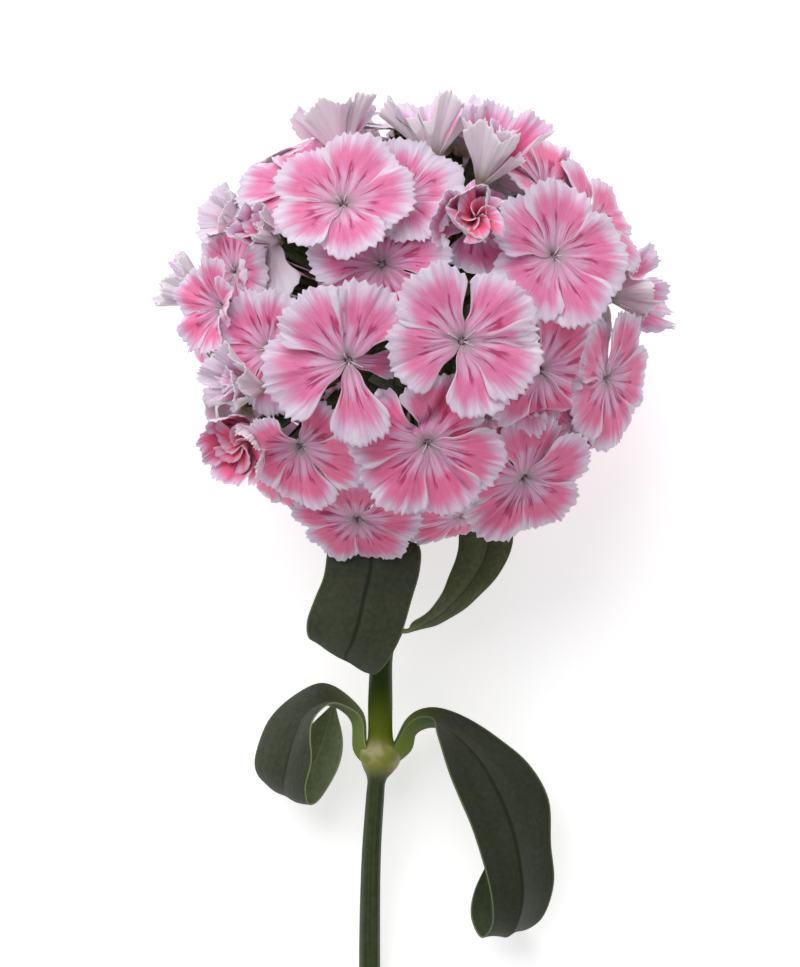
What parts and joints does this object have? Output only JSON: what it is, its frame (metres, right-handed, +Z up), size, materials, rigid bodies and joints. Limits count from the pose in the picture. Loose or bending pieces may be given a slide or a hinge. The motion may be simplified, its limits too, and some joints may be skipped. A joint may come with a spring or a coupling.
{
  "type": "cut sweet william stem",
  "caption": "Cut sweet william lying on its side: a ball-shaped head of flat toothed florets over green calyces, on a jointed stem with curling paired leaves.",
  "frame": {"origin": "middle of the overall box in X and Y, on the surface that the flower lies on", "axes": "+Y from the cut end of the stem towards the head, +Z up from the surface, +X to the right seen from above"},
  "size_m": [0.0927, 0.2017, 0.0799],
  "materials": {
    "petal": "soft matt petal, pink with a pale toothed rim",
    "stalk": "matt green calyces and branches",
    "stem": "smooth satin green stem",
    "leaf": "dull dark green leaf with a paler underside"
  },
  "bodies": {
    "root": {"floret_01": "petal", "floret_02": "petal", "floret_03": "petal", "floret_04": "petal", "floret_05": "petal", "floret_06": "petal", "floret_07": "petal", "floret_08": "petal", "floret_09": "petal", "floret_10": "petal", "floret_11": "petal", "floret_12": "petal", "floret_13": "petal", "floret_14": "petal", "floret_15": "petal", "floret_16": "petal", "floret_17": "petal", "floret_18": "petal", "floret_19": "petal", "floret_20": "petal", "floret_21": "petal", "floret_22": "petal", "floret_23": "petal", "floret_24": "petal", "floret_25": "petal", "floret_26": "petal", "floret_27": "petal", "floret_28": "petal", "floret_29": "petal", "floret_30": "petal", "floret_31": "petal", "floret_32": "petal", "floret_33": "petal", "floret_34": "petal", "floret_35": "petal", "floret_36": "petal", "floret_37": "petal", "floret_38": "petal", "floret_39": "petal", "floret_40": "petal", "floret_41": "petal", "floret_42": "petal", "floret_43": "petal", "floret_44": "petal", "floret_45": "petal", "floret_46": "petal", "floret_47": "petal", "floret_48": "petal", "floret_49": "petal", "floret_50": "petal", "floret_51": "petal", "floret_52": "petal", "floret_53": "petal", "head_stalks": "stalk", "leaf_lower_left": "leaf", "leaf_lower_right": "leaf", "leaf_upper_left": "leaf", "leaf_upper_right": "leaf", "stem": "stem"}
  },
  "joints": []
}
